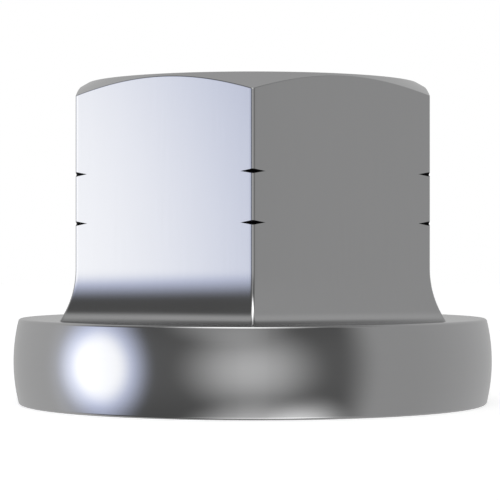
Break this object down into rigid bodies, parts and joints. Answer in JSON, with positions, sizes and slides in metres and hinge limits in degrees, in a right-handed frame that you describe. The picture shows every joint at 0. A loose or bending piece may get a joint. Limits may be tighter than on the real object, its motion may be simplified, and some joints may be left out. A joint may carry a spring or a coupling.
{
  "type": "collar nut",
  "caption": "Tall hexagon nut with a wide barrel-sided round collar, hollow flares under its flats, a top chamfer and marking grooves across its corners.",
  "frame": {"origin": "centre of the flat bearing face under the collar", "axes": "+Z along the thread's axis, from the bearing face to the hexagon's top; one corner of the hexagon points along -Y, so the flats are measured along X"},
  "size_m": [0.0224, 0.0224, 0.015],
  "materials": {
    "steel": "fine-turned and ground steel, semi-bright"
  },
  "bodies": {
    "root": {"collar_nut": "steel"}
  },
  "joints": []
}
